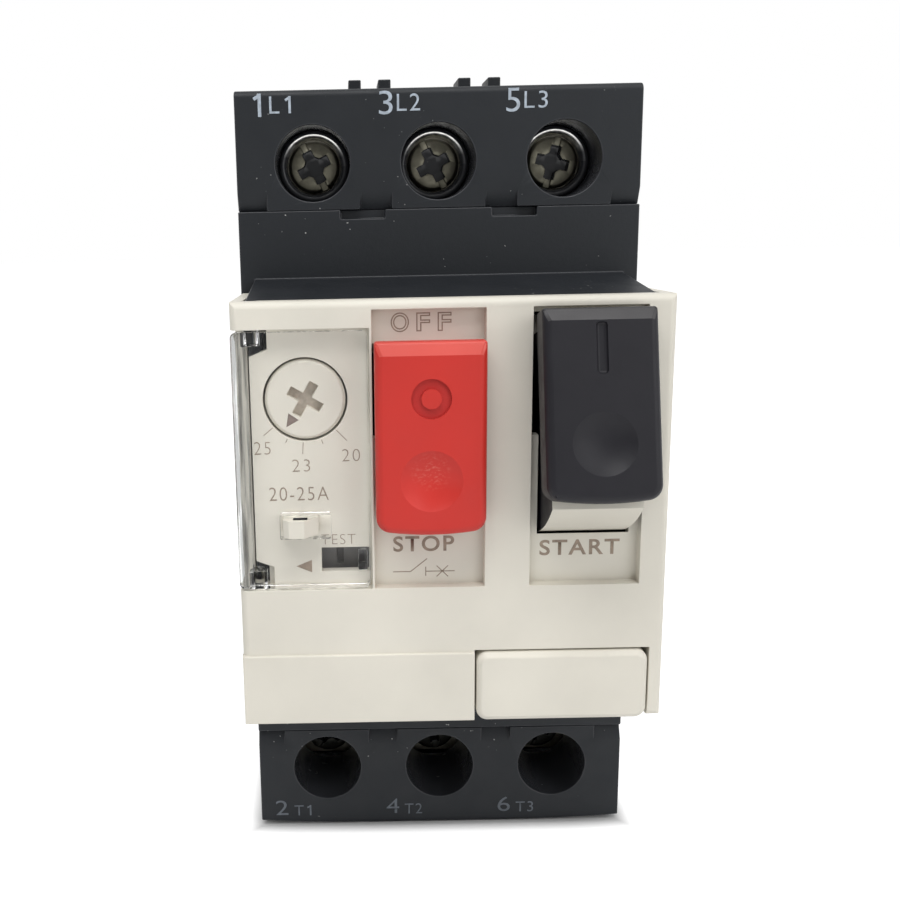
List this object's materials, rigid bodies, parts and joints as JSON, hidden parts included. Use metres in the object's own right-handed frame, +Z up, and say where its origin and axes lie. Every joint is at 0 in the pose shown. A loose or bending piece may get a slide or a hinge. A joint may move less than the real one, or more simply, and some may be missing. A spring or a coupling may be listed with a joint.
{
  "type": "motor protection circuit breaker",
  "caption": "Rail-mounted thermal-magnetic motor protection circuit breaker with rocking start and stop buttons, a setting dial under a clear sealing cover and screw-clamp terminals.",
  "frame": {"origin": "middle of the 35 mm rail seat on the back plane of the breaker", "axes": "+Z up along the poles from the load to the line terminals, front facing -Y, +X to the right seen from the front"},
  "size_m": [0.045, 0.0783, 0.0925],
  "materials": {
    "black_housing": "fine matte moulding",
    "cream_plastic": "satin moulding",
    "red_plastic": "satin moulding",
    "button_black": "fine matte moulding",
    "clear_plastic": "clear gloss",
    "grey_plastic": "matte moulding",
    "white_plastic": "matte insulation",
    "zinc_steel": "dull zinc plating",
    "spring_steel": "bare spring steel",
    "iron": "bare sheet steel",
    "copper_alloy": "bare copper alloy",
    "silver_tip": "silver contact alloy"
  },
  "bodies": {
    "housing": {"rear_base": "black_housing", "line_terminal_block": "black_housing", "load_terminal_block": "black_housing", "mechanism_housing": "black_housing", "front_cover": "cream_plastic", "button_pin": "zinc_steel", "latch_pin": "zinc_steel", "trip_lever_pin": "zinc_steel", "fixed_tips": "silver_tip", "inner_strips": "copper_alloy", "line_arc_plates": "iron", "load_arc_plates": "iron", "magnet_coils": "copper_alloy", "magnet_yokes": "iron", "bimetals": "iron", "heater_windings": "copper_alloy", "start_spring": "spring_steel", "stop_spring": "spring_steel", "test_spring": "spring_steel", "rail_clip_spring": "spring_steel", "line_terminal_1": "copper_alloy", "load_terminal_1": "copper_alloy", "line_terminal_2": "copper_alloy", "load_terminal_2": "copper_alloy", "line_terminal_3": "copper_alloy", "load_terminal_3": "copper_alloy"},
    "start_button": {"start_cap": "button_black", "start_carrier": "cream_plastic"},
    "stop_button": {"stop_cap": "red_plastic", "stop_carrier": "red_plastic"},
    "contact_carriage": {"contact_carrier": "white_plastic", "contact_springs": "spring_steel", "contact_bridge_1": "copper_alloy", "contact_bridge_2": "copper_alloy", "contact_bridge_3": "copper_alloy"},
    "release_latch": {"latch_lever": "white_plastic"},
    "dial": {"setting_dial": "cream_plastic", "setting_cam": "cream_plastic"},
    "test_slide_body": {"test_slider": "grey_plastic"},
    "trip_lever_body": {"trip_lever": "grey_plastic"},
    "trip_bar_body": {"trip_bar": "white_plastic"},
    "clear_cover": {"sealing_cover": "clear_plastic"},
    "blank": {"aux_blank": "cream_plastic"},
    "clip": {"rail_clip": "black_housing"},
    "plunger_body_1": {"plunger_1": "iron"},
    "plunger_body_2": {"plunger_2": "iron"},
    "plunger_body_3": {"plunger_3": "iron"},
    "line_clamp_1": {"line_washer_1": "zinc_steel"},
    "line_screw_body_1": {"line_screw_1": "zinc_steel"},
    "line_clamp_2": {"line_washer_2": "zinc_steel"},
    "line_screw_body_2": {"line_screw_2": "zinc_steel"},
    "line_clamp_3": {"line_washer_3": "zinc_steel"},
    "line_screw_body_3": {"line_screw_3": "zinc_steel"},
    "load_clamp_1": {"load_washer_1": "zinc_steel"},
    "load_screw_body_1": {"load_screw_1": "zinc_steel"},
    "load_clamp_2": {"load_washer_2": "zinc_steel"},
    "load_screw_body_2": {"load_screw_2": "zinc_steel"},
    "load_clamp_3": {"load_washer_3": "zinc_steel"},
    "load_screw_body_3": {"load_screw_3": "zinc_steel"}
  },
  "joints": [
    {"name": "start_press", "type": "hinge", "parent": "housing", "child": "start_button", "pos_m": [0.0137, -0.061, 0.0175], "axis": [1, 0, 0], "range_deg": [0, 14.02], "deforming": ["start_spring"]},
    {"name": "stop_press", "type": "hinge", "parent": "housing", "child": "stop_button", "pos_m": [-0.00243, -0.061, 0.0175], "axis": [1, 0, 0], "range_deg": [0, 6], "stiffness_Nm_per_rad": 0.05, "springref_deg": -11.46, "deforming": ["stop_spring"]},
    {"name": "contact_travel", "type": "slide", "parent": "housing", "child": "contact_carriage", "axis": [0, 1, 0], "range_m": [0, 0.004], "stiffness_N_per_m": 100, "springref_m": -0.004},
    {"name": "latch_turn", "type": "hinge", "parent": "housing", "child": "release_latch", "pos_m": [-0.00243, -0.056, -0.012], "axis": [1, 0, 0], "range_deg": [-6.91, 0]},
    {"name": "dial_turn", "type": "hinge", "parent": "housing", "child": "dial", "pos_m": [-0.015, -0.0685, 0.0124], "axis": [0, -1, 0], "range_deg": [-15, 76]},
    {"name": "cover_swing", "type": "hinge", "parent": "housing", "child": "clear_cover", "pos_m": [-0.0204, -0.0675, 0.006], "axis": [0, 0, -1], "range_deg": [0, 110]},
    {"name": "test_slide", "type": "slide", "parent": "housing", "child": "test_slide_body", "axis": [-1, 0, 0], "range_m": [0, 0.0025], "stiffness_N_per_m": 200, "springref_m": -0.002, "deforming": ["test_spring"]},
    {"name": "trip_lever_turn", "type": "hinge", "parent": "housing", "child": "trip_lever_body", "pos_m": [-0.016, -0.0486, -0.0045], "axis": [0, 0, 1], "range_deg": [-13.37, 0]},
    {"name": "trip_bar_slide", "type": "slide", "parent": "housing", "child": "trip_bar_body", "axis": [1, 0, 0], "range_m": [0, 0.00271]},
    {"name": "clip_slide", "type": "slide", "parent": "housing", "child": "clip", "axis": [0, 0, -1], "range_m": [0, 0.004], "stiffness_N_per_m": 600, "springref_m": -0.002, "deforming": ["rail_clip_spring"]},
    {"name": "blank_pull", "type": "slide", "parent": "housing", "child": "blank", "axis": [0, -1, 0], "range_m": [0, 0.014]},
    {"name": "plunger_slide_1", "type": "slide", "parent": "housing", "child": "plunger_body_1", "axis": [0, -1, 0], "range_m": [0, 0.003], "stiffness_N_per_m": 100, "springref_m": -0.001},
    {"name": "plunger_slide_2", "type": "slide", "parent": "housing", "child": "plunger_body_2", "axis": [0, -1, 0], "range_m": [0, 0.003], "stiffness_N_per_m": 100, "springref_m": -0.001},
    {"name": "plunger_slide_3", "type": "slide", "parent": "housing", "child": "plunger_body_3", "axis": [0, -1, 0], "range_m": [0, 0.003], "stiffness_N_per_m": 100, "springref_m": -0.001},
    {"name": "line_clamp_slide_1", "type": "slide", "parent": "housing", "child": "line_clamp_1", "axis": [0, 1, 0], "range_m": [0, 0.0039]},
    {"name": "line_screw_turn_1", "type": "hinge", "parent": "line_clamp_1", "child": "line_screw_body_1", "pos_m": [-0.014, -0.047, 0.0366], "axis": [0, 1, 0], "range_deg": [0, 2007.7]},
    {"name": "line_clamp_slide_2", "type": "slide", "parent": "housing", "child": "line_clamp_2", "axis": [0, 1, 0], "range_m": [0, 0.0039]},
    {"name": "line_screw_turn_2", "type": "hinge", "parent": "line_clamp_2", "child": "line_screw_body_2", "pos_m": [0, -0.047, 0.0366], "axis": [0, 1, 0], "range_deg": [0, 2007.7]},
    {"name": "line_clamp_slide_3", "type": "slide", "parent": "housing", "child": "line_clamp_3", "axis": [0, 1, 0], "range_m": [0, 0.0039]},
    {"name": "line_screw_turn_3", "type": "hinge", "parent": "line_clamp_3", "child": "line_screw_body_3", "pos_m": [0.014, -0.047, 0.0366], "axis": [0, 1, 0], "range_deg": [0, 2007.7]},
    {"name": "load_clamp_slide_1", "type": "slide", "parent": "housing", "child": "load_clamp_1", "axis": [0, 1, 0], "range_m": [0, 0.0039]},
    {"name": "load_screw_turn_1", "type": "hinge", "parent": "load_clamp_1", "child": "load_screw_body_1", "pos_m": [-0.014, -0.044, -0.0366], "axis": [0, 1, 0], "range_deg": [0, 2007.7]},
    {"name": "load_clamp_slide_2", "type": "slide", "parent": "housing", "child": "load_clamp_2", "axis": [0, 1, 0], "range_m": [0, 0.0039]},
    {"name": "load_screw_turn_2", "type": "hinge", "parent": "load_clamp_2", "child": "load_screw_body_2", "pos_m": [0, -0.044, -0.0366], "axis": [0, 1, 0], "range_deg": [0, 2007.7]},
    {"name": "load_clamp_slide_3", "type": "slide", "parent": "housing", "child": "load_clamp_3", "axis": [0, 1, 0], "range_m": [0, 0.0039]},
    {"name": "load_screw_turn_3", "type": "hinge", "parent": "load_clamp_3", "child": "load_screw_body_3", "pos_m": [0.014, -0.044, -0.0366], "axis": [0, 1, 0], "range_deg": [0, 2007.7]}
  ],
  "couplings": [
    {"joint": "start_press", "follows": "contact_travel", "rad_per_m": 61.087},
    {"joint": "latch_turn", "follows": "stop_press", "ratio": -1.1429},
    {"joint": "trip_lever_turn", "follows": "test_slide", "rad_per_m": -93.023},
    {"joint": "trip_bar_slide", "follows": "test_slide", "ratio": 1.0791},
    {"joint": "line_screw_turn_1", "follows": "line_clamp_slide_1", "rad_per_m": 8976},
    {"joint": "line_screw_turn_2", "follows": "line_clamp_slide_2", "rad_per_m": 8976},
    {"joint": "line_screw_turn_3", "follows": "line_clamp_slide_3", "rad_per_m": 8976},
    {"joint": "load_screw_turn_1", "follows": "load_clamp_slide_1", "rad_per_m": 8976},
    {"joint": "load_screw_turn_2", "follows": "load_clamp_slide_2", "rad_per_m": 8976},
    {"joint": "load_screw_turn_3", "follows": "load_clamp_slide_3", "rad_per_m": 8976}
  ]
}
